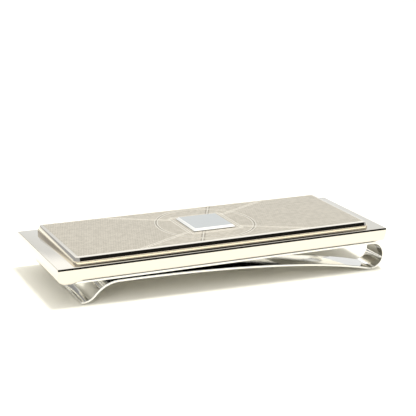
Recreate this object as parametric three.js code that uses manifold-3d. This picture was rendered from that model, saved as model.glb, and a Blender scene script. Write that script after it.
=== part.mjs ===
// Spring money clip: a thick base plate carries a stepped, engine-turned panel with a
// square monogram plaque, and a flat steel spring is soldered under it. The spring runs
// along the underside, turns round an open eye at one end and comes back as a gripping
// leg that nearly touches the plate before it flares down into a lip.
// Millimetres. +X points to the eye, +Y across the clip, +Z up; the origin is centred
// under the clip, on the level of the eye's lowest point.

import * as THREE from 'three';
import { mergeVertices } from 'three/addons/utils/BufferGeometryUtils.js';
import Module from 'manifold-3d';

const wasm = await Module();
wasm.setup();

// ---- driving dimensions ----------------------------------------------------------

// base plate
const PLATE_LENGTH = 54.6;
const PLATE_WIDTH = 19.4;
const PLATE_THICKNESS = 2.1;
const PLATE_EDGE = 0.3;           // rounding along both long sides
const PLATE_TOE = 0.6;            // rounding under the end above the eye
const BEAD_PROUD = 0.04;          // the bead at the other end stands this far below the strip
const BEAD_NOSE = 1.1;            // rounding of that end into the bead
const BEAD_FLAT = 1;              // from the nose to where the bead starts to rise
const BEAD_RISE = 1.7;            // length over which it rises to the underside

// stepped panel on the plate
const END_LEDGE = 2.7;
const SIDE_LEDGE = 0.8;
const STEP_THICKNESS = 0.5;
const STEP_CORNER = 0.9;
const STEP_EDGE = 0.12;
const PANEL_INSET = 0.12;
const PANEL_THICKNESS = 0.6;
const PANEL_WALL = 0.5;           // height of the panel's sloping sides
const PANEL_LEAN = 0.2;           // how far they lean in over that height

// raised square in the middle of the panel
const PLAQUE_SIDE = 7;
const PLAQUE_HEIGHT = 0.35;
const PLAQUE_BEVEL = 0.35;
const PLAQUE_CORNER = 0.15;

// spring strip
const STRIP_THICKNESS = 0.36;
const STRIP_INSET = 0.1;          // from the plate's long sides
const HEEL_GAP = 0.3;             // between the bead's slope and the fixed leg's tapered end
const EYE_RADIUS = 2.13;          // to the middle of the strip
const EYE_INSET = 2.35;           // plate's end to the eye's centre
const BAND_WIDTH = 4.5;           // either side of the window
const WINDOW_HEEL = 3;            // the window starts this far before the eye on the fixed leg
const WINDOW_REACH = 13;          // and runs this far along the gripping leg
const HINGE_GAP_ANGLE = 14;       // degrees of the eye left free between the two halves
const HINGE_GAP_MIDDLE = 15;      // degrees above level, middle of that gap

// gripping leg and lip
const PINCH_GAP = 0.2;            // free height between the two legs at the pinch
const PINCH_INSET = 9.3;          // plate's end to the pinch
const LEG_START_ANGLE = 15;       // degrees of slope where the leg leaves the eye
const LEG_EYE_HANDLE = 9;         // how far the leg holds that slope
const LEG_PINCH_HANDLE = 17;      // how far the leg stays level after the pinch
const BEND_RADIUS = 4.8;          // at the pinch, turning down into the lip
const BEND_ANGLE = 46;
const LIP_STRAIGHT = 0.7;
const LIP_RADIUS = 2.25;
const LIP_UPTURN = 8;             // degrees past level at the lip's tip
const LIP_TIP = 0.1;

// drawing accuracy
const ARC_STEP = THREE.MathUtils.degToRad(6);
const LEG_STEPS = 22;
const CORNER_STEPS = 5;
const EDGE_STEPS = 3;
const SPARE = 5;                  // how far cutting blocks stand past what they cut

// ---- levels and places worked out from them --------------------------------------

const plateBottom = 2 * EYE_RADIUS + STRIP_THICKNESS;
const plateTop = plateBottom + PLATE_THICKNESS;
const stepTop = plateTop + STEP_THICKNESS;
const panelTop = stepTop + PANEL_THICKNESS;
const eyeX = PLATE_LENGTH / 2 - EYE_INSET;
const eyeZ = plateBottom - STRIP_THICKNESS / 2 - EYE_RADIUS;
const beadEndX = -PLATE_LENGTH / 2 + BEAD_NOSE + BEAD_FLAT;
const beadDepth = STRIP_THICKNESS + BEAD_PROUD;
const beadBottom = plateBottom - beadDepth;
const heelX = beadEndX + BEAD_RISE + HEEL_GAP;
const heelTaper = (BEAD_RISE * STRIP_THICKNESS) / beadDepth;
const fixedLegZ = plateBottom - STRIP_THICKNESS / 2;
const pinchX = -PLATE_LENGTH / 2 + PINCH_INSET;
const pinchZ = fixedLegZ - STRIP_THICKNESS - PINCH_GAP;
const stripWidth = PLATE_WIDTH - 2 * STRIP_INSET;
const windowWidth = stripWidth - 2 * BAND_WIDTH;

// ---- materials -------------------------------------------------------------------

const polished = new THREE.MeshStandardMaterial({ color: 0xe8e6df, roughness: 0.08, metalness: 1 });
const engraved = new THREE.MeshStandardMaterial({ color: 0xcfc8ba, roughness: 0.4, metalness: 1 });
const mirror = new THREE.MeshStandardMaterial({ color: 0xd2d8da, roughness: 0.05, metalness: 1 });
const springSteel = new THREE.MeshStandardMaterial({ color: 0xd6d6d4, roughness: 0.12, metalness: 1 });

// ---- shape helpers ---------------------------------------------------------------

function toSolid(geometry) {
  const bare = geometry.clone();
  bare.deleteAttribute('normal');
  bare.deleteAttribute('uv');
  const merged = mergeVertices(bare, 1e-4);
  return new wasm.Manifold(new wasm.Mesh({
    numProp: 3,
    vertProperties: new Float32Array(merged.attributes.position.array),
    triVerts: new Uint32Array(merged.index.array),
  }));
}

function toGeometry(solid) {
  const mesh = solid.getMesh();
  const geometry = new THREE.BufferGeometry();
  geometry.setAttribute('position', new THREE.BufferAttribute(mesh.vertProperties, 3));
  geometry.setIndex(new THREE.BufferAttribute(mesh.triVerts, 1));
  return geometry;
}

function block(x0, x1, y0, y1, z0, z1) {
  const geometry = new THREE.BoxGeometry(x1 - x0, y1 - y0, z1 - z0);
  return geometry.translate((x0 + x1) / 2, (y0 + y1) / 2, (z0 + z1) / 2);
}

function roundedRectangle(length, width, corner) {
  const x = length / 2 - corner;
  const y = width / 2 - corner;
  const outline = new THREE.Shape();
  outline.absarc(x, y, corner, 0, Math.PI / 2);
  outline.absarc(-x, y, corner, Math.PI / 2, Math.PI);
  outline.absarc(-x, -y, corner, Math.PI, 1.5 * Math.PI);
  outline.absarc(x, -y, corner, 1.5 * Math.PI, 2 * Math.PI);
  outline.closePath();
  return outline;
}

// A plate whose edges are rounded or bevelled all round, above and below.
function edgedPlate(length, width, thickness, corner, bevelIn, bevelDown, steps) {
  const outline = roundedRectangle(length, width, corner);
  const geometry = new THREE.ExtrudeGeometry(outline, {
    depth: thickness - 2 * bevelDown,
    curveSegments: CORNER_STEPS,
    bevelSegments: steps,
    bevelSize: bevelIn,
    bevelOffset: -bevelIn,
    bevelThickness: bevelDown,
  });
  return geometry.translate(0, 0, bevelDown);
}

// The same plate with its edge treated on top only: the lower half is cut off.
function topEdgedPlate(length, width, thickness, corner, bevelIn, bevelDown, steps) {
  const whole = toSolid(edgedPlate(length, width, 2 * thickness, corner, bevelIn, bevelDown, steps));
  const lower = toSolid(block(-length, length, -width, width, -SPARE, thickness));
  return toGeometry(whole.subtract(lower)).translate(0, 0, -thickness);
}

// The outline of the spring strip in side view, from its middle line: first the side that
// faces the plate on the fixed leg, then back along the other side.
function stripOutline(middleLine) {
  const half = STRIP_THICKNESS / 2;
  const left = [];
  const right = [];
  middleLine.forEach((point, i) => {
    const before = middleLine[Math.max(i - 1, 0)];
    const after = middleLine[Math.min(i + 1, middleLine.length - 1)];
    const along = after.clone().sub(before).normalize();
    const normal = new THREE.Vector2(-along.y, along.x).multiplyScalar(half);
    left.push(point.clone().add(normal));
    right.unshift(point.clone().sub(normal));
  });
  return [...left, ...right];
}

// A side view drawn across the clip over the strip's width.
function across(outline) {
  const geometry = new THREE.ExtrudeGeometry(new THREE.Shape(outline), {
    depth: stripWidth,
    bevelEnabled: false,
  });
  return geometry.rotateX(Math.PI / 2).translate(0, stripWidth / 2, 0);
}

// Points of an arc, both ends included. Angles are in radians from +X towards +Z.
function arc(centreX, centreZ, radius, from, to) {
  const steps = Math.ceil(Math.abs(to - from) / ARC_STEP);
  return Array.from({ length: steps + 1 }, (_, i) => {
    const angle = from + ((to - from) * i) / steps;
    return new THREE.Vector2(centreX + radius * Math.cos(angle), centreZ + radius * Math.sin(angle));
  });
}

// ---- plate, panel and plaque -----------------------------------------------------

// Side view of the plate: square on top, rounded below, with a bead across one end that
// stops the spring's end. It is drawn across the clip with both long sides rounded.
function basePlate() {
  const left = -PLATE_LENGTH / 2;
  const right = PLATE_LENGTH / 2;
  const side = new THREE.Shape();
  side.moveTo(right, plateTop);
  side.lineTo(left, plateTop);
  side.absarc(left + BEAD_NOSE, beadBottom + BEAD_NOSE, BEAD_NOSE, Math.PI, 1.5 * Math.PI);
  side.lineTo(beadEndX, beadBottom);
  side.lineTo(beadEndX + BEAD_RISE, plateBottom);
  side.absarc(right - PLATE_TOE, plateBottom + PLATE_TOE, PLATE_TOE, -Math.PI / 2, 0);
  side.closePath();
  const geometry = new THREE.ExtrudeGeometry(side, {
    depth: PLATE_WIDTH - 2 * PLATE_EDGE,
    curveSegments: CORNER_STEPS,
    bevelSegments: EDGE_STEPS,
    bevelSize: PLATE_EDGE,
    bevelOffset: -PLATE_EDGE,
    bevelThickness: PLATE_EDGE,
  });
  return geometry.rotateX(Math.PI / 2).translate(0, PLATE_WIDTH / 2 - PLATE_EDGE, 0);
}

const stepLength = PLATE_LENGTH - 2 * END_LEDGE;
const stepWidth = PLATE_WIDTH - 2 * SIDE_LEDGE;

function backingStep() {
  return topEdgedPlate(stepLength, stepWidth, STEP_THICKNESS, STEP_CORNER,
    STEP_EDGE, STEP_EDGE, EDGE_STEPS).translate(0, 0, plateTop);
}

function engravedPanel() {
  return topEdgedPlate(stepLength - 2 * PANEL_INSET, stepWidth - 2 * PANEL_INSET, PANEL_THICKNESS,
    STEP_CORNER - PANEL_INSET, PANEL_LEAN, PANEL_WALL, 1).translate(0, 0, stepTop);
}

function monogramPlaque() {
  return topEdgedPlate(PLAQUE_SIDE, PLAQUE_SIDE, PLAQUE_HEIGHT, PLAQUE_CORNER + PLAQUE_BEVEL,
    PLAQUE_BEVEL, PLAQUE_HEIGHT, 1).translate(0, 0, panelTop);
}

// ---- spring ----------------------------------------------------------------------

const radians = THREE.MathUtils.degToRad;
const gapTop = radians(HINGE_GAP_MIDDLE + HINGE_GAP_ANGLE / 2);
const gapBottom = radians(HINGE_GAP_MIDDLE - HINGE_GAP_ANGLE / 2);

// The window takes the middle out of the strip through the eye, which softens the bend.
function cutWindow(solid, fromX) {
  const opening = block(fromX, eyeX + EYE_RADIUS + SPARE, -windowWidth / 2, windowWidth / 2,
    -SPARE, plateBottom + SPARE);
  return toGeometry(solid.subtract(toSolid(opening)));
}

// Fixed leg: flat against the plate, with the upper half of the eye. Its end tapers to a
// thin edge that lies along the bead's slope.
function fixedLeg() {
  const line = [new THREE.Vector2(heelX - heelTaper, fixedLegZ),
    ...arc(eyeX, eyeZ, EYE_RADIUS, Math.PI / 2, gapTop)];
  const outline = stripOutline(line);
  outline[0].x = heelX;
  return cutWindow(toSolid(across(outline)), eyeX - WINDOW_HEEL);
}

// Gripping leg: the lower half of the eye, the long bowed leg, the pinch and the lip.
function grippingLeg() {
  const startAngle = -Math.PI / 2 - radians(LEG_START_ANGLE);
  const eye = arc(eyeX, eyeZ, EYE_RADIUS, gapBottom, -Math.PI / 2);
  const legStart = arc(eyeX, eyeZ, EYE_RADIUS, -Math.PI / 2, startAngle).at(-1);
  const slope = new THREE.Vector2(Math.sin(startAngle), -Math.cos(startAngle));
  const pinch = new THREE.Vector2(pinchX, pinchZ);
  const leg = new THREE.CubicBezierCurve(
    legStart,
    legStart.clone().addScaledVector(slope, LEG_EYE_HANDLE),
    pinch.clone().add(new THREE.Vector2(LEG_PINCH_HANDLE, 0)),
    pinch,
  ).getSpacedPoints(LEG_STEPS);
  leg.pop();

  const bendAngle = radians(BEND_ANGLE);
  const bend = arc(pinchX, pinchZ - BEND_RADIUS, BEND_RADIUS, Math.PI / 2, Math.PI / 2 + bendAngle);
  const down = new THREE.Vector2(-Math.cos(bendAngle), -Math.sin(bendAngle));
  const lipStart = bend.at(-1).clone().addScaledVector(down, LIP_STRAIGHT);
  const lipCentre = lipStart.clone().add(
    new THREE.Vector2(-Math.sin(bendAngle), Math.cos(bendAngle)).multiplyScalar(LIP_RADIUS));
  const lip = arc(lipCentre.x, lipCentre.y, LIP_RADIUS,
    -Math.PI / 2 + bendAngle, -Math.PI / 2 - radians(LIP_UPTURN));
  const outward = new THREE.Vector2(-Math.cos(radians(LIP_UPTURN)), Math.sin(radians(LIP_UPTURN)));
  const tip = lip.at(-1).clone().addScaledVector(outward, LIP_TIP);
  const outline = stripOutline([...eye, ...leg, ...bend, ...lip, tip]);
  return cutWindow(toSolid(across(outline)), eyeX - WINDOW_REACH);
}

// ---- assembly --------------------------------------------------------------------

const group = new THREE.Group();

function addPart(name, geometry, material) {
  const mesh = new THREE.Mesh(geometry, material);
  mesh.name = name;
  group.add(mesh);
}

addPart('base_plate', basePlate(), polished);
addPart('backing_step', backingStep(), polished);
addPart('engraved_panel', engravedPanel(), engraved);
addPart('monogram_plaque', monogramPlaque(), mirror);
addPart('spring_fixed_leg', fixedLeg(), springSteel);
addPart('spring_gripping_leg', grippingLeg(), springSteel);

export default group;
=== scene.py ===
"""Spring money clip: an engine-turned panel on a bright plate, held by a bent steel spring."""

import math

import bmesh
import bpy
from mathutils import Matrix, Vector
from mathutils.geometry import interpolate_bezier


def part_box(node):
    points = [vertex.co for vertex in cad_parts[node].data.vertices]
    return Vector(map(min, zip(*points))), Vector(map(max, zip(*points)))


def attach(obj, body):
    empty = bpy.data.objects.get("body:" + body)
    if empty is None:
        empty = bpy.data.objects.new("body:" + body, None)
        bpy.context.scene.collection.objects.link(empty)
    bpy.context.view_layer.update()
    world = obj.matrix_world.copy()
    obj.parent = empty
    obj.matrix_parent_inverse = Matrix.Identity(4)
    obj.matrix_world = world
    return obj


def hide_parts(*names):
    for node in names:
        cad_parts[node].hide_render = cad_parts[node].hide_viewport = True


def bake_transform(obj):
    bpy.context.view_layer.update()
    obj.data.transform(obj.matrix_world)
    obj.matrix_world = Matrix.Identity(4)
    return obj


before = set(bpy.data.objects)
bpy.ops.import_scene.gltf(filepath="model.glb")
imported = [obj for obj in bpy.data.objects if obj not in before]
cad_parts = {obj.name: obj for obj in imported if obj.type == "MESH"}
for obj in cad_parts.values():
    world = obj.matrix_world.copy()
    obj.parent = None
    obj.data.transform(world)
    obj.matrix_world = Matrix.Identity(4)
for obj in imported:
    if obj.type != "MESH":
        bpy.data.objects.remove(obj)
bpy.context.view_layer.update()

# ---- base plate ------------------------------------------------------------------------
# A solid nickel silver bar, milled flat and mirror polished, with crisp ends and its long
# edges just broken. A bead rolled across the lip end stops the soldered spring's heel.

MM = 0.001
plate_low, plate_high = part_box("base_plate")
step_low, step_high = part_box("backing_step")
THICKNESS = 2.1 * MM
UNDERSIDE = step_low.z - THICKNESS
BEAD_LENGTH = 2.1 * MM
BEAD_START = plate_low.x + BEAD_LENGTH
BEAD_RISE = 1.7 * MM
BEAD_DROP = 0.4 * MM
NOSE_RADIUS = 1.1 * MM
TOE_RADIUS = 0.6 * MM
EDGE_DROP = 0.3 * MM
EDGE_LEAN = 0.12 * MM
EDGE_ROUND = 0.06 * MM
SIDE_TOP = step_low.z - 0.4 * MM
SIDE_MIDDLE = UNDERSIDE + 1 * MM
SIDE_ROUND = 0.34 * MM
BUFFED = 0.0000005


class Wire:
    """A shader socket in sums: an expression on wires adds its Math nodes."""

    def __init__(self, tree, socket=None):
        self.tree = tree
        self.socket = socket

    def node(self, kind, settings=None, inputs=None, output=0):
        made = self.tree.nodes.new("ShaderNode" + kind)
        for name, value in (settings or {}).items():
            setattr(made, name, value)
        for name, value in (inputs or {}).items():
            if isinstance(value, Wire):
                self.tree.links.new(value.socket, made.inputs[name])
            else:
                made.inputs[name].default_value = value
        return Wire(self.tree, made.outputs[output])

    def maths(self, operation, *values):
        return self.node("Math", {"operation": operation}, dict(enumerate(values)))

    def __add__(self, other):
        return self.maths("ADD", self, other)

    def __sub__(self, other):
        return self.maths("SUBTRACT", self, other)

    def __rsub__(self, other):
        return self.maths("SUBTRACT", other, self)

    def __mul__(self, other):
        return self.maths("MULTIPLY", self, other)

    __radd__ = __add__
    __rmul__ = __mul__

    def smooth(self, low, high):
        return self.node(
            "MapRange",
            {"interpolation_type": "SMOOTHSTEP"},
            {"Value": self, "From Min": low, "From Max": high},
        )

    def mix(self, first, second):
        """This wire as the factor between two colours."""
        return self.node("Mix", {"data_type": "RGBA"}, {0: self, 6: first, 7: second}, output=2)


def metal(name, colour, roughness):
    """A new bare metal, with its shader and a wire to build on."""
    made = bpy.data.materials.new(name)
    made.use_nodes = True
    shader = made.node_tree.nodes["Principled BSDF"]
    shader.inputs["Base Color"].default_value = (*colour, 1)
    shader.inputs["Metallic"].default_value = 1
    shader.inputs["Roughness"].default_value = roughness
    return made, shader, Wire(made.node_tree)


def feed(wire, shader, socket):
    wire.tree.links.new(wire.socket, shader.inputs[socket])


def polish(name, colour, roughness, handling, wave):
    """Polished metal: buffing leaves faint waves, and handling dulls it in soft patches."""
    made, shader, wire = metal(name, colour, roughness)
    place = wire.node("TexCoord", output="Object")
    patches = wire.node("TexNoise", {}, {"Vector": place, "Scale": 90, "Detail": 3})
    feed(roughness + handling * patches.smooth(0.45, 0.75), shader, "Roughness")
    waves = wire.node("TexNoise", {}, {"Vector": place, "Scale": 160, "Detail": 1})
    buffed = wire.node("Bump", {}, {"Strength": 1, "Distance": wave, "Height": waves})
    feed(buffed, shader, "Normal")
    return made


def finish_piece(name, bm, material, body, slot, *nodes, crease=32):
    """The bmesh becomes a piece that rides on a body and stands for CAD nodes."""
    mesh = bpy.data.meshes.new(name)
    bm.to_mesh(mesh)
    bm.free()
    mesh.materials.append(material)
    piece = bpy.data.objects.new(name, mesh)
    bpy.context.scene.collection.objects.link(piece)
    for polygon in mesh.polygons:
        polygon.use_smooth = True
    mesh.set_sharp_from_angle(angle=math.radians(crease))
    if body:
        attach(piece, body)
    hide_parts(*nodes)
    return piece


def bar(low, high):
    """A box between two corners."""
    bm = bmesh.new()
    size = high - low
    place = Matrix.Translation((low + high) / 2) @ Matrix.Diagonal((*size, 1))
    bmesh.ops.create_cube(bm, size=1, matrix=place)
    bm.normal_update()
    return bm


def edges_where(bm, rule):
    """Edges whose two ends both meet a rule."""
    return [e for e in bm.edges if all(rule(v.co) for v in e.verts)]


def round_edges(bm, edges, size, segments):
    bmesh.ops.bevel(
        bm, geom=edges, offset=size, affect="EDGES", segments=segments,
        profile=0.5, material=-1,
    )
    bm.normal_update()


def near(a, b):
    return abs(a - b) < 1e-6


plate_low.z = UNDERSIDE
plate_high.z = step_low.z
bm = bar(plate_low, plate_high)
for cut in (BEAD_START, BEAD_START + BEAD_RISE):
    bmesh.ops.bisect_plane(
        bm, geom=bm.verts[:] + bm.edges[:] + bm.faces[:],
        plane_co=(cut, 0, 0), plane_no=(1, 0, 0),
    )
for vert in bm.verts:
    if near(vert.co.z, UNDERSIDE) and vert.co.x < BEAD_START + 1e-6:
        vert.co.z -= BEAD_DROP
lowest = min(v.co.z for v in bm.verts)
nose = edges_where(bm, lambda co: near(co.x, plate_low.x) and near(co.z, lowest))
toe = edges_where(bm, lambda co: near(co.x, plate_high.x) and near(co.z, UNDERSIDE))
round_edges(bm, nose, NOSE_RADIUS, 8)
round_edges(bm, toe, TOE_RADIUS, 6)
top = [f for f in bm.faces if f.normal.z > 0.99 and near(f.calc_center_median().z, step_low.z)]
rim = {v for f in top for v in f.verts if near(abs(v.co.y), plate_high.y)}
bmesh.ops.bisect_plane(
    bm, geom=bm.verts[:] + bm.edges[:] + bm.faces[:],
    plane_co=(0, 0, step_low.z - EDGE_DROP), plane_no=(0, 0, 1),
)
for vert in rim:
    vert.co.y -= math.copysign(EDGE_LEAN, vert.co.y)
bm.normal_update()
long_top = edges_where(
    bm, lambda co: near(co.z, step_low.z) and near(abs(co.y), plate_high.y - EDGE_LEAN)
)
round_edges(bm, long_top, EDGE_ROUND, 3)
side_low = [
    e for e in bm.edges
    if all(near(abs(v.co.y), plate_high.y) and v.co.z < SIDE_TOP for v in e.verts)
    and len({round(f.normal.y) for f in e.link_faces}) == 2
    and e.verts[0].co.z < SIDE_MIDDLE
    and not (near(e.verts[0].co.x, e.verts[1].co.x) and near(abs(e.verts[0].co.x), plate_high.x))
]
round_edges(bm, side_low, SIDE_ROUND, 6)
bright_plate = polish("polished_nickel_silver", (0.70, 0.67, 0.615), 0.05, 0.04, BUFFED)
finish_piece(
    "base_plate_bar", bm, bright_plate, "plate", "polished_plate", "base_plate", crease=20
)

# ---- backing step ----------------------------------------------------------------------
# A thin step left between the plate and the panel, with rounded corners and a bright
# rounded edge that stands a little proud of the panel's foot.

STEP_CORNER = 0.9 * MM
STEP_EDGE = 0.12 * MM


def uprights(bm):
    """The upright edges at a bar's corners."""
    return [
        e for e in bm.edges
        if near(e.verts[0].co.x, e.verts[1].co.x) and near(e.verts[0].co.y, e.verts[1].co.y)
    ]


bm = bar(step_low, step_high)
round_edges(bm, uprights(bm), STEP_CORNER, 8)
top_rim = [e for e in bm.edges if all(near(v.co.z, step_high.z) for v in e.verts)
           and len(e.link_faces) == 2 and any(abs(f.normal.z) < 0.5 for f in e.link_faces)]
round_edges(bm, top_rim, STEP_EDGE, 4)
gilt_step = polish("polished_step", (0.76, 0.68, 0.54), 0.08, 0.04, BUFFED)
finish_piece("backing_step_plate", bm, gilt_step, "plate", "polished_step", "backing_step")

# ---- engraved panel --------------------------------------------------------------------
# The panel's sides lean in to a bright polished border, and inside it the field is
# engine-turned: fine cut lines, a double ring, four double rays and one slanting pair. Its
# colour carries painted shade between the ring's ridges, beside the slanting ridge and in
# the troughs of the fine cuts.

panel_low, panel_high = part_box("engraved_panel")
PANEL_CORNER = 0.8 * MM
FOOT = 0.004 * MM
LEAN = 0.2 * MM
BORDER = 0.45 * MM
BORDER_RISE = 0.06 * MM
BORDER_SLOPE = 0.04 * MM
BORDER_ROUND = 0.04 * MM
SUNK = 0.03 * MM
bm = bar(panel_low, Vector((panel_high.x, panel_high.y, panel_low.z + FOOT)))
round_edges(bm, uprights(bm), PANEL_CORNER, 8)
top = [f for f in bm.faces if f.normal.z > 0.9]
rise = panel_high.z - panel_low.z - FOOT - BORDER_RISE
bmesh.ops.inset_region(bm, faces=top, thickness=LEAN, depth=rise, use_even_offset=True)
rim = edges_where(bm, lambda co: near(co.z, panel_high.z - BORDER_RISE))
bmesh.ops.inset_region(
    bm, faces=top, thickness=BORDER, depth=BORDER_RISE, use_even_offset=True
)
bmesh.ops.inset_region(
    bm, faces=top, thickness=BORDER_SLOPE, depth=-SUNK, use_even_offset=True
)
round_edges(bm, rim, BORDER_ROUND, 3)
for face in bm.faces:
    if face.normal.z > 0.99 and near(face.calc_center_median().z, panel_high.z - SUNK):
        face.material_index = 1

RAY_SLOPE = 0.5
RAY_START = 1.1
CUT_PERIOD = 0.36
CUT_DEPTH = 0.000005
RING_MIDDLE = 7.7
SLANT_HALF = 0.22
field, shader, wire = metal("engine_turned_field", (0.8, 0.75, 0.66), 0.26)
place = wire.node("TexCoord", output="Object")
x, y = (wire.node("SeparateXYZ", {}, {"Vector": place}, output=axis) * 1000 for axis in "XY")
abs_x = x.maths("ABSOLUTE", x)
abs_y = y.maths("ABSOLUTE", y)
fan = (abs_y - RAY_SLOPE * abs_x - RAY_START).smooth(-0.05, 0.05)
turned = (x * 0.94 - y * 0.34) * (1 - fan) + (x * 0.3 + y * 0.95) * fan
fine = turned.maths("SINE", turned * (2 * math.pi / CUT_PERIOD))
engraved = wire.node("Bump", {}, {"Strength": 1, "Distance": CUT_DEPTH, "Height": fine})
feed(engraved, shader, "Normal")
clouds = wire.node(
    "TexNoise", {}, {"Vector": place, "Scale": 1500, "Detail": 3, "Roughness": 0.6}
)
square = x * x + y * y
ring_far = square.maths("SQRT", square) - RING_MIDDLE
slant_far = (x - 0.53 * y) * 0.885
slant_side = slant_far.maths("ABSOLUTE", slant_far) - SLANT_HALF
# Painted shade: darker bands in the gap between the ring's two ridges and along both sides of the
# slanting ridge.
gap_shade = (1 - ring_far.maths("ABSOLUTE", ring_far).smooth(0.05, 0.16)) + (
    1 - slant_side.maths("ABSOLUTE", slant_side).smooth(0.05, 0.16)
)
# Field tone: random mottling from the clouds plus painted shade. The fine cuts are painted darker
# in their troughs and lighter on their crests, and the gap shade is darker still.
shade = clouds.smooth(0.35, 0.65) * 0.25 + fine * 0.08 + 0.6 - gap_shade * 0.7
feed(shade.mix((0.34, 0.30, 0.235, 1), (0.67, 0.61, 0.505, 1)), shader, "Base Color")
piece = finish_piece(
    "engraved_panel_plate", bm, bright_plate, "plate",
    "engraved_panel", "engraved_panel", crease=12,
)
piece.data.materials.append(field)

# ---- bright cuts -----------------------------------------------------------------------
# The lines of the pattern are cut with a polished tool and stand out as fine bright ridges:
# a double ring, four double rays from the square's corners, a slanting pair and a frame.

RIDGE = 0.11 * MM
RIDGE_HIGH = 0.02 * MM
PAIR = 0.2 * MM
FIELD_Y = 8.1 * MM
RAY_FROM = 4.4
SLANT_FROM = 5 * MM
SLANT_LENGTH = 4.2 * MM
FRAME_SIDE = 4.3 * MM
RINGS = (7.5 * MM, 7.9 * MM)
ridges = bmesh.new()
base = panel_high.z - SUNK - 0.002 * MM


def ridge(place, along, length):
    """A three-sided ridge from a point, along a flat direction."""
    across = Vector((-along.y, along.x, 0))
    foot = Vector((place.x, place.y, base))
    profile = [
        ridges.verts.new(foot - across * RIDGE / 2),
        ridges.verts.new(foot + across * RIDGE / 2),
        ridges.verts.new(foot + Vector((0, 0, RIDGE_HIGH))),
    ]
    face = ridges.faces.new(profile)
    grown = bmesh.ops.extrude_face_region(ridges, geom=[face])["geom"]
    bmesh.ops.translate(
        ridges, verts=[g for g in grown if isinstance(g, bmesh.types.BMVert)],
        vec=along * length,
    )


def pair(start, end):
    """Two ridges side by side between two points."""
    along = (end - start).normalized()
    across = Vector((-along.y, along.x, 0))
    for side in (-PAIR, PAIR):
        ridge(start + across * side, along, (end - start).length)


for sign_x in (-1, 1):
    for sign_y in (-1, 1):
        near_y = RAY_START + RAY_SLOPE * RAY_FROM
        near_end = Vector((sign_x * RAY_FROM, sign_y * near_y, 0)) * MM
        far_x = (FIELD_Y / MM - RAY_START) / RAY_SLOPE
        pair(near_end, Vector((sign_x * far_x * MM, sign_y * FIELD_Y, 0)))
for sign in (-1, 1):
    way = Vector((0.47, 0.883, 0)) * sign
    ridge(way * SLANT_FROM, way, SLANT_LENGTH)
turns = ((-1, -1), (1, -1), (1, 1), (-1, 1))
corners = [Vector((a * FRAME_SIDE, b * FRAME_SIDE, 0)) for a, b in turns]
for start, end in zip(corners, corners[1:] + corners[:1]):
    pair(start, end)
for radius in RINGS:
    profile = [
        ridges.verts.new((radius - RIDGE / 2, 0, base)),
        ridges.verts.new((radius + RIDGE / 2, 0, base)),
        ridges.verts.new((radius, 0, base + RIDGE_HIGH)),
    ]
    ring = [ridges.edges.new((profile[i], profile[i - 1])) for i in range(3)]
    bmesh.ops.spin(
        ridges, geom=profile + ring, cent=(0, 0, 0), axis=(0, 0, 1),
        angle=2 * math.pi, steps=96, use_merge=True,
    )
bmesh.ops.remove_doubles(ridges, verts=ridges.verts, dist=0.0001 * MM)
bmesh.ops.recalc_face_normals(ridges, faces=ridges.faces)
bright_cut = polish("bright_cut", (0.86, 0.82, 0.73), 0.28, 0.05, BUFFED)
finish_piece("bright_cut_lines", ridges, bright_cut, "plate", "engraved_panel", crease=12)

# ---- monogram plaque -------------------------------------------------------------------
# A plain mirror square left standing in the middle of the panel for an initial, with
# filed sides that slope down to the engraving. The sides carry a painted highlight: a
# whiter metal than the top.

plaque_low, plaque_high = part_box("monogram_plaque")
PLAQUE_FOOT = 0.03 * MM
PLAQUE_LEAN = 0.33 * MM
PLAQUE_ROUND = 0.03 * MM
bm = bar(plaque_low, Vector((plaque_high.x, plaque_high.y, plaque_low.z + PLAQUE_FOOT)))
top = [f for f in bm.faces if f.normal.z > 0.9]
bmesh.ops.inset_region(
    bm, faces=top, thickness=PLAQUE_LEAN,
    depth=plaque_high.z - plaque_low.z - PLAQUE_FOOT, use_even_offset=True,
)
round_edges(bm, edges_where(bm, lambda co: near(co.z, plaque_high.z)), PLAQUE_ROUND, 2)
# Painted highlight: the sloped faces take a whiter metal than the mirror top.
for face in bm.faces:
    if 0.3 < face.normal.z < 0.95:
        face.material_index = 1
mirror = polish("mirror_plaque", (0.66, 0.68, 0.685), 0.05, 0.03, BUFFED)
piece = finish_piece(
    "monogram_square", bm, mirror, "plate", "mirror_plaque", "monogram_plaque", crease=12
)
piece.data.materials.append(polish("filed_side_painted_highlight", (0.95, 0.94, 0.91), 0.08, 0.03, BUFFED))

# ---- spring ----------------------------------------------------------------------------
# One strip of hard polished steel, blanked with a window through the eye, bent round the
# eye and bowed back to a flared lip. Its flat upper leg is soldered under the plate.

fixed_low, fixed_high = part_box("spring_fixed_leg")
STRIP = 0.36 * MM
EYE = 2.13 * MM
EYE_INSET = 2.35 * MM
BAND = 4.5 * MM
RIM_ROUND = 0.07 * MM
eye_x = plate_high.x - EYE_INSET
eye_z = UNDERSIDE - STRIP / 2 - EYE
HALF_WIDTH = fixed_high.y
HALF_WINDOW = HALF_WIDTH - BAND
HEEL_WINDOW = eye_x - 3 * MM
LEG_WINDOW = eye_x - 13 * MM
NIP = 0.05 * MM
HEEL_TAPER = 0.2 * MM


def turn(centre_x, centre_z, radius, start, end, step):
    """Points round an arc, in degrees from +X towards +Z, without the first."""
    count = math.ceil(abs(end - start) / step)
    angles = [math.radians(start + (end - start) * (i + 1) / count) for i in range(count)]
    return [(centre_x + radius * math.cos(a), centre_z + radius * math.sin(a)) for a in angles]


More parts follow.
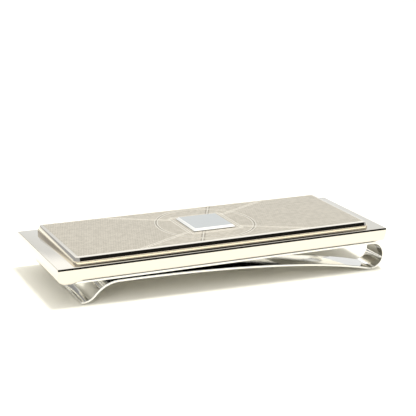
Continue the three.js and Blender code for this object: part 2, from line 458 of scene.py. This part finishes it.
def strip(stations, window_from):
    """A strip of metal along a line of (x, z) points, its middle open past an x place."""
    bm = bmesh.new()
    start_x, start_z = stations[0]
    sides = (-HALF_WIDTH, -HALF_WINDOW, HALF_WINDOW, HALF_WIDTH)
    row = [bm.verts.new((start_x, side, start_z)) for side in sides]
    edges = [bm.edges.new(ends) for ends in zip(row, row[1:])]
    for (x0, z0), (x1, z1) in zip(stations, stations[1:]):
        grown = bmesh.ops.extrude_edge_only(bm, edges=edges)["geom"]
        verts = [g for g in grown if isinstance(g, bmesh.types.BMVert)]
        edges = [g for g in grown if isinstance(g, bmesh.types.BMEdge)
                 and near(g.verts[0].co.x, x0) and near(g.verts[0].co.z, z0)
                 and abs(g.verts[0].co.y - g.verts[1].co.y) > 1 * MM
                 and all(v in verts for v in g.verts)]
        bmesh.ops.translate(bm, verts=verts, vec=(x1 - x0, 0, z1 - z0))
    middle = [
        f for f in bm.faces
        if abs(f.calc_center_median().y) < 1 * MM and f.calc_center_median().x > window_from
    ]
    bmesh.ops.delete(bm, geom=middle, context="FACES")
    bmesh.ops.recalc_face_normals(bm, faces=bm.faces)
    return bm


def thicken(bm):
    """The sheet gets the strip's thickness about its middle, on both sides."""
    bm.normal_update()
    for vert in bm.verts:
        vert.co += vert.normal * vert.calc_shell_factor() * (STRIP / 2)
    bmesh.ops.solidify(bm, geom=bm.faces[:], thickness=STRIP)
    bmesh.ops.recalc_face_normals(bm, faces=bm.faces)
    bm.normal_update()
    rims = edges_where(bm, lambda co: abs(co.y) > HALF_WIDTH - 0.01 * MM)
    rims = [e for e in rims if near(e.verts[0].co.y, e.verts[1].co.y) and e.calc_face_angle() > 1]
    round_edges(bm, rims, RIM_ROUND, 3)


fixed_z = UNDERSIDE - STRIP / 2
flat = (fixed_low.x + HEEL_TAPER, HEEL_WINDOW, eye_x - NIP, eye_x)
fixed_line = [(at, fixed_z) for at in flat]
fixed_line += turn(eye_x, eye_z, EYE, 90, -89, 5) + turn(eye_x, eye_z, EYE, -89, -90, 1)
bm = strip(fixed_line, HEEL_WINDOW)
thicken(bm)
spring_steel = polish("spring_steel", (0.80, 0.795, 0.775), 0.07, 0.04, 0.000001)
heel = finish_piece(
    "spring_heel_and_eye", bm, spring_steel, None, "spring_steel", "spring_fixed_leg"
)
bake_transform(heel)

PINCH_INSET = 9.3 * MM
PINCH_GAP = 0.2 * MM
EYE_HANDLE = 9 * MM
PINCH_HANDLE = 17 * MM
BEND_RADIUS = 4.8 * MM
LIP_STRAIGHT = 0.7 * MM
LIP_RADIUS = 2.25 * MM
TIP_REACH = 0.1 * MM
TIP_ROUND = 0.06 * MM
pinch_x = plate_low.x + PINCH_INSET
pinch_z = fixed_z - STRIP - PINCH_GAP
LEG_SLOPE = math.radians(15)
BEND = math.radians(46)
leg_line = [(eye_x, eye_z - EYE)]
leg_line += turn(eye_x, eye_z, EYE, -90, -91, 1) + turn(eye_x, eye_z, EYE, -91, -105, 5)
start = Vector((leg_line[-1][0], leg_line[-1][1], 0))
slope = Vector((-math.cos(LEG_SLOPE), math.sin(LEG_SLOPE), 0))
pinch = Vector((pinch_x, pinch_z, 0))
bow = interpolate_bezier(
    start, start + slope * EYE_HANDLE, pinch + Vector((PINCH_HANDLE, 0, 0)), pinch, 60
)
for before, after in zip(bow, bow[1:]):
    if before.x > LEG_WINDOW > after.x:
        share = (before.x - LEG_WINDOW) / (before.x - after.x)
        leg_line.append((LEG_WINDOW, before.y + (after.y - before.y) * share))
    leg_line.append((after.x, after.y))
leg_line += turn(pinch_x, pinch_z - BEND_RADIUS, BEND_RADIUS, 90, 136, 4)
lip_x = leg_line[-1][0] - LIP_STRAIGHT * math.cos(BEND)
lip_z = leg_line[-1][1] - LIP_STRAIGHT * math.sin(BEND)
leg_line.append((lip_x, lip_z))
centre_x = lip_x - LIP_RADIUS * math.sin(BEND)
centre_z = lip_z + LIP_RADIUS * math.cos(BEND)
leg_line += turn(centre_x, centre_z, LIP_RADIUS, -44, -98, 6)
bm = strip(leg_line, LEG_WINDOW)
thicken(bm)
tip_x = leg_line[-1][0] + TIP_REACH
tip = [e for e in edges_where(bm, lambda co: co.x < tip_x)
       if abs(e.verts[0].co.y - e.verts[1].co.y) > 1 * MM]
round_edges(bm, tip, TIP_ROUND, 3)
finish_piece("spring_leg", bm, spring_steel, "spring", "spring_steel", "spring_gripping_leg")

# ---- table and light -------------------------------------------------------------------
# The clip stands on a white table, under a small strong lamp almost overhead and a wide weak
# one at the front left. The room is white with a grey wall at the left, and it has one small
# dark opening above and behind the viewer.

LIP_RISE = 0.97 * MM
STANCE = 48.4 * MM
TABLE_DROP = 0.02 * MM
bm = bmesh.new()
bmesh.ops.create_grid(bm, x_segments=1, y_segments=1, size=3)
tilt = math.atan2(LIP_RISE, STANCE)
bmesh.ops.transform(
    bm, verts=bm.verts,
    matrix=Matrix.Translation((eye_x, 0, -TABLE_DROP)) @ Matrix.Rotation(tilt, 4, "Y"),
)
mesh = bpy.data.meshes.new("table")
bm.to_mesh(mesh)
bm.free()
table = bpy.data.objects.new("table", mesh)
bpy.context.scene.collection.objects.link(table)
white = bpy.data.materials.new("white_table")
white.use_nodes = True
surface = white.node_tree.nodes["Principled BSDF"].inputs
surface["Base Color"].default_value = (0.88, 0.855, 0.76, 1)
surface["Roughness"].default_value = 0.8
mesh.materials.append(white)

world = bpy.data.worlds.new("white_corner")
world.use_nodes = True
bpy.context.scene.world = world
tree = world.node_tree
air = Wire(tree)
way = air.node("TexCoord", output="Generated")
east, north, up = (
    air.node("SeparateXYZ", {}, {"Vector": way}, output=axis) for axis in "XYZ"
)
DIM = (0.55, 0.55, 0.55, 1)
sweep = up.smooth(0.36, 0.5).mix((0.94, 0.95, 0.94, 1), (1.4, 1.4, 1.37, 1))
around = north.smooth(-0.1, 0.2).mix(DIM, sweep)
rising = up.smooth(0.7, 0.85).mix(around, (1.3, 1.29, 1.25, 1))
room = (east * 0.42 - north * 0.82 + up * 0.38).smooth(0.945, 0.968)
wall = (0 - east).smooth(0.1, 0.25) * (1 - up.smooth(0.3, 0.45))
walled = wall.mix(rising, (0.5, 0.5, 0.51, 1))
corner = room.mix(walled, (0.015, 0.014, 0.012, 1))
seen = air.node("LightPath", output="Is Camera Ray").mix(corner, (0.95, 0.95, 0.94, 1))
tree.links.new(seen.socket, tree.nodes["Background"].inputs["Color"])

softbox = bpy.data.lights.new("softbox", "AREA")
softbox.shape = "RECTANGLE"
softbox.size = 0.12
softbox.size_y = 0.1
softbox.energy = 2.2
filler = bpy.data.lights.new("filler", "AREA")
filler.size = 0.3
filler.energy = 0.9
for light, place in ((softbox, (0.09, 0.035, 0.52)), (filler, (-0.35, -0.35, 0.25))):
    lamp = bpy.data.objects.new(light.name, light)
    bpy.context.scene.collection.objects.link(lamp)
    lamp.location = place
    lamp.visible_glossy = False
    lamp.rotation_euler = (-lamp.location).to_track_quat("-Z", "Y").to_euler()

# ---- camera ----------------------------------------------------------------------------
# A long lens from the front left, a little above the clip.

camera = bpy.data.objects.new("camera", bpy.data.cameras.new("camera"))
bpy.context.scene.collection.objects.link(camera)
camera.data.lens = 101
camera.data.sensor_width = 36
camera.data.clip_start = 0.01
camera.location = (-0.07563, -0.15682, 0.06105)
AIM = Vector((0.4188, 0.8638, -0.2802))
ROLL = math.radians(1.35)
camera.rotation_euler = (
    AIM.to_track_quat("-Z", "Y").to_matrix() @ Matrix.Rotation(ROLL, 3, "Z")
).to_euler()
bpy.context.scene.camera = camera
bpy.context.scene.view_settings.view_transform = "Standard"
